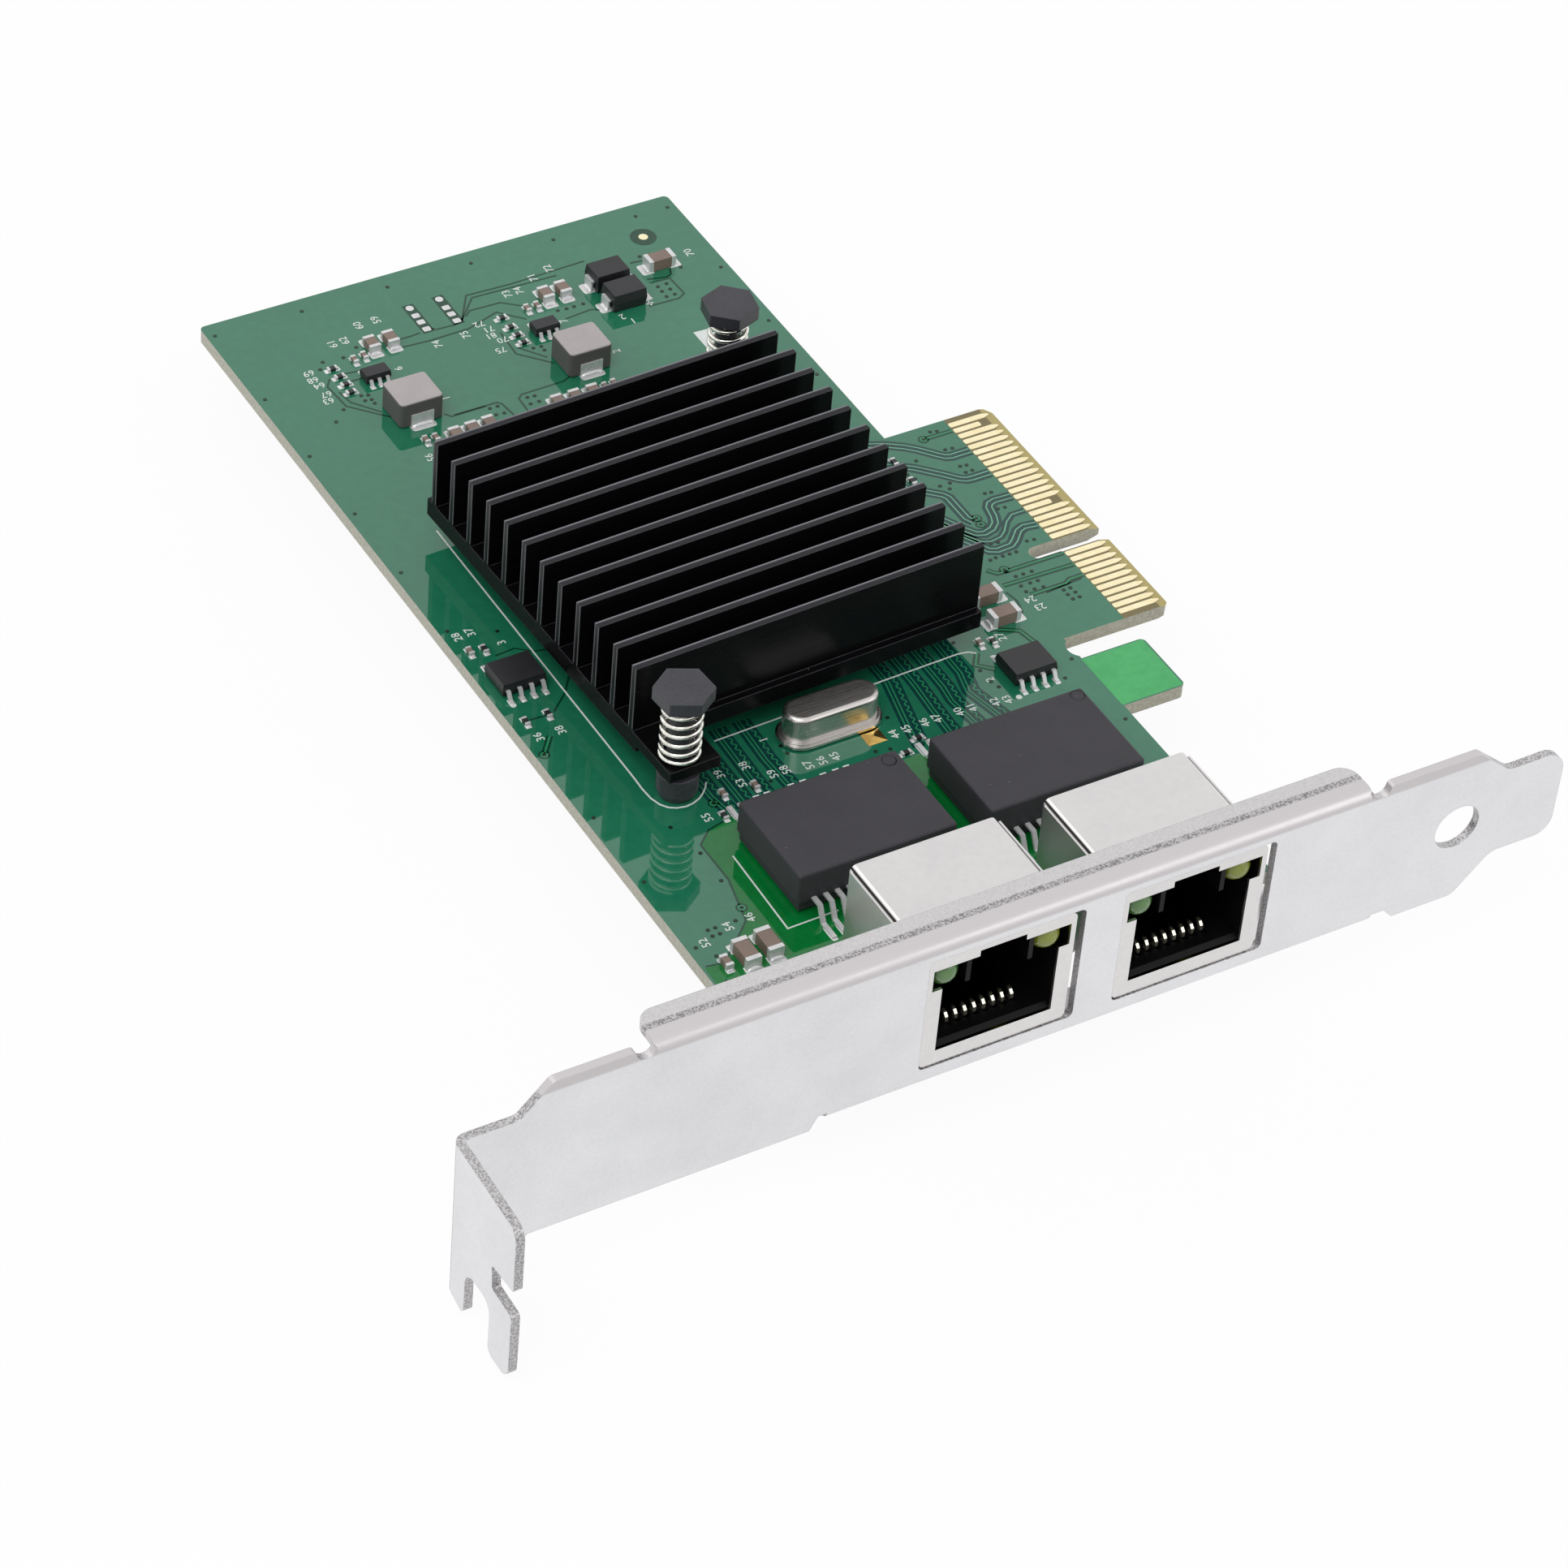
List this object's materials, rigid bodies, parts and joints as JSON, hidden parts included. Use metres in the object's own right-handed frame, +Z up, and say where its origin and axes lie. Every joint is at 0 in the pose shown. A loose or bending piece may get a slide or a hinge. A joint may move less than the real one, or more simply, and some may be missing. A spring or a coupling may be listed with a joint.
{
  "type": "network interface card",
  "caption": "Full-height expansion card with two network sockets in a metal bracket, a finned heatsink on push pins and a short edge connector.",
  "frame": {"origin": "middle of the key notch on the connector's outer edge, at the board's component face", "axes": "+X toward the slot the card plugs into, +Y along the board away from the bracket, +Z up off the component side"},
  "size_m": [0.12, 0.1382, 0.023],
  "materials": {
    "board": "glossy green solder mask over glass laminate",
    "gold": "thin hard gold over copper",
    "bracket_steel": "satin nickel-plated sheet",
    "screw_steel": "zinc-plated",
    "nickel": "bright nickel-plated sheet",
    "black_plastic": "moulded, fine matte",
    "green_lens": "clear tinted resin, unlit",
    "amber_lens": "clear tinted resin, unlit",
    "tin": "tinned metal, soft shine",
    "black_anodised": "black anodised aluminium, satin",
    "chip_black": "moulded epoxy",
    "transformer_plastic": "moulded, dark, slightly rough",
    "pad_grey": "soft filled silicone",
    "pin_plastic": "moulded nylon",
    "spring_steel": "bright wire",
    "can_metal": "drawn and plated, satin",
    "ferrite": "pressed powder, dark grey",
    "capacitor_tan": "fired ceramic, brown",
    "resistor_black": "glazed, black"
  },
  "bodies": {
    "root": {"circuit_board": "board", "contact_fingers_front": "gold", "contact_fingers_back": "gold", "bracket": "bracket_steel", "bracket_screws": "screw_steel", "left_port_shell": "nickel", "right_port_shell": "nickel", "left_port_housing": "black_plastic", "right_port_housing": "black_plastic", "left_port_contacts": "gold", "right_port_contacts": "gold", "green_status_lamps": "green_lens", "amber_status_lamps": "amber_lens", "status_lamp_leads": "tin", "heatsink": "black_anodised", "controller_chip": "chip_black", "thermal_pad": "pad_grey", "push_pins": "pin_plastic", "push_pin_springs": "spring_steel", "left_transformer": "transformer_plastic", "right_transformer": "transformer_plastic", "left_transformer_leads": "tin", "right_transformer_leads": "tin", "crystal_base": "can_metal", "crystal_can": "can_metal", "crystal_feet": "tin", "memory_chips": "chip_black", "memory_chip_leads": "tin", "regulator_chips": "chip_black", "regulator_leads": "tin", "inductor_bodies": "ferrite", "inductor_terminals": "tin", "diode_bodies": "chip_black", "diode_terminals": "tin", "large_capacitors": "capacitor_tan", "large_capacitor_caps": "tin", "medium_capacitors": "capacitor_tan", "medium_capacitor_caps": "tin", "single_capacitor": "capacitor_tan", "single_capacitor_caps": "tin", "small_capacitors": "capacitor_tan", "small_capacitor_caps": "tin", "resistors": "resistor_black", "resistor_caps": "tin"}
  },
  "joints": []
}
